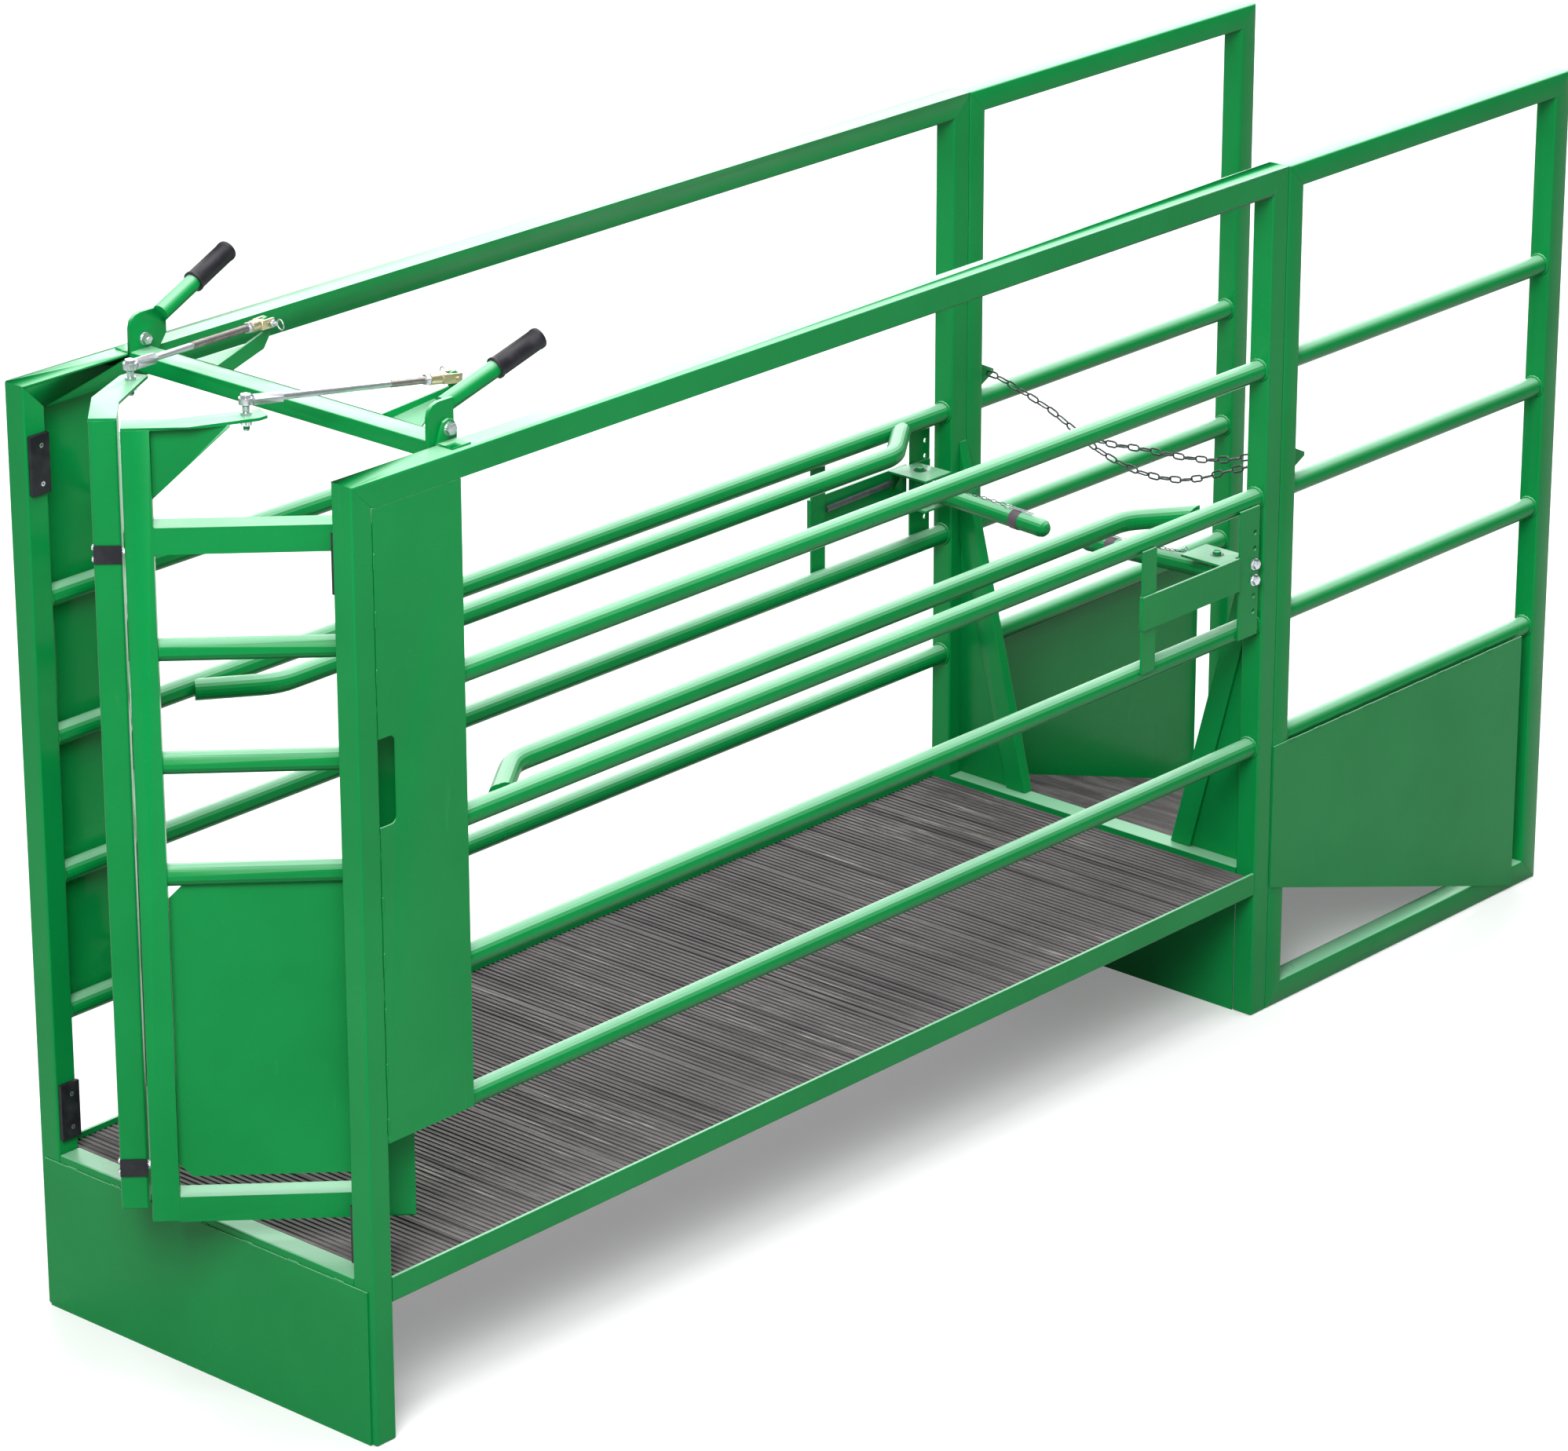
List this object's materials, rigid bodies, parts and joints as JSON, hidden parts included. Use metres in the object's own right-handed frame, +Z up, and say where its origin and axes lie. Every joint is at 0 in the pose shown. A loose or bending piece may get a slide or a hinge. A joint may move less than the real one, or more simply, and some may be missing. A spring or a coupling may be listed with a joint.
{
  "type": "stripping chute",
  "caption": "Welded pipe cattle alley with a raised deck, ramped entry tail, swinging anti-back bars, a guard chain and V gates opened together by a lever shaft.",
  "frame": {"origin": "on the ground, midway along the length and the width", "axes": "+X from the V gates to the entry ramp, +Y to the far side, +Z up"},
  "size_m": [3.805, 0.91, 2.0177],
  "materials": {
    "green_paint": "gloss",
    "deck_board": "matte ribbed",
    "rubber": "satin",
    "bright_steel": "bright zinc",
    "yellow_zinc": "yellow zinc",
    "chain_steel": "dark oiled"
  },
  "bodies": {
    "frame": {"near_front_post": "green_paint", "near_rear_post": "green_paint", "near_top_rail": "green_paint", "near_floor_rail": "green_paint", "near_rail_1": "green_paint", "near_rail_2": "green_paint", "near_rail_3": "green_paint", "near_rail_4": "green_paint", "near_front_plate": "green_paint", "near_body_bar": "green_paint", "near_entry_wing": "green_paint", "near_tail_panel": "green_paint", "near_tail_sheet": "green_paint", "near_bar_guide": "green_paint", "near_adjuster_plate": "green_paint", "near_bar_bracket": "green_paint", "near_return_spring": "bright_steel", "near_lower_post_pad": "rubber", "near_upper_post_pad": "rubber", "far_front_post": "green_paint", "far_rear_post": "green_paint", "far_top_rail": "green_paint", "far_floor_rail": "green_paint", "far_rail_1": "green_paint", "far_rail_2": "green_paint", "far_rail_3": "green_paint", "far_rail_4": "green_paint", "far_front_plate": "green_paint", "far_body_bar": "green_paint", "far_entry_wing": "green_paint", "far_tail_panel": "green_paint", "far_tail_sheet": "green_paint", "far_bar_guide": "green_paint", "far_adjuster_plate": "green_paint", "far_bar_bracket": "green_paint", "far_return_spring": "bright_steel", "far_lower_post_pad": "rubber", "far_upper_post_pad": "rubber", "front_cross_member": "green_paint", "rear_cross_member": "green_paint", "front_skirt": "green_paint", "deck": "deck_board", "ramp": "deck_board", "entry_chain": "chain_steel", "entry_chain_tail": "chain_steel"},
    "lever_shaft": {"lever": "green_paint", "near_lever_grip": "rubber", "far_lever_grip": "rubber"},
    "near_gate": {"near_gate_frame": "green_paint", "near_gate_sheet": "green_paint"},
    "far_gate": {"far_gate_frame": "green_paint", "far_gate_sheet": "green_paint", "lower_gate_strap": "rubber", "upper_gate_strap": "rubber"},
    "near_link": {"near_link_clevis": "yellow_zinc", "near_link_rod": "bright_steel"},
    "far_link": {"far_link_clevis": "yellow_zinc", "far_link_rod": "bright_steel"},
    "near_bar": {"near_anti_back_bar": "green_paint"},
    "far_bar": {"far_anti_back_bar": "green_paint"}
  },
  "joints": [
    {"name": "lever_pivot", "type": "hinge", "parent": "frame", "child": "lever_shaft", "pos_m": [-1.4475, 0, 1.885], "axis": [0, -1, 0], "range_deg": [0, 61.94]},
    {"name": "near_gate_hinge", "type": "hinge", "parent": "frame", "child": "near_gate", "pos_m": [-1.526, -0.3684, 1.15], "axis": [0, 0, 1], "range_deg": [0, 41.2]},
    {"name": "far_gate_hinge", "type": "hinge", "parent": "frame", "child": "far_gate", "pos_m": [-1.526, 0.3684, 1.15], "axis": [0, 0, -1], "range_deg": [0, 41.2]},
    {"name": "near_link_pivot", "type": "hinge", "parent": "lever_shaft", "child": "near_link", "pos_m": [-1.2755, -0.243, 1.905], "axis": [0.2337, 0.8802, 0.4131], "range_deg": [0, 48.03]},
    {"name": "far_link_pivot", "type": "hinge", "parent": "lever_shaft", "child": "far_link", "pos_m": [-1.2755, 0.243, 1.905], "axis": [-0.2337, 0.8802, -0.4131], "range_deg": [0, 48.03]},
    {"name": "near_bar_pivot", "type": "hinge", "parent": "frame", "child": "near_bar", "pos_m": [0.7707, -0.402, 1.0201], "axis": [0, 0, 1], "range_deg": [0, 85], "stiffness_Nm_per_rad": 6, "springref_deg": -20.05},
    {"name": "far_bar_pivot", "type": "hinge", "parent": "frame", "child": "far_bar", "pos_m": [0.7707, 0.402, 1.0201], "axis": [0, 0, -1], "range_deg": [0, 85], "stiffness_Nm_per_rad": 6, "springref_deg": -20.05}
  ],
  "couplings": [
    {"joint": "near_gate_hinge", "follows": "lever_pivot", "ratio": 0.66519},
    {"joint": "far_gate_hinge", "follows": "lever_pivot", "ratio": 0.66519},
    {"joint": "near_link_pivot", "follows": "lever_pivot", "ratio": 0.77555},
    {"joint": "far_link_pivot", "follows": "lever_pivot", "ratio": 0.77555}
  ]
}
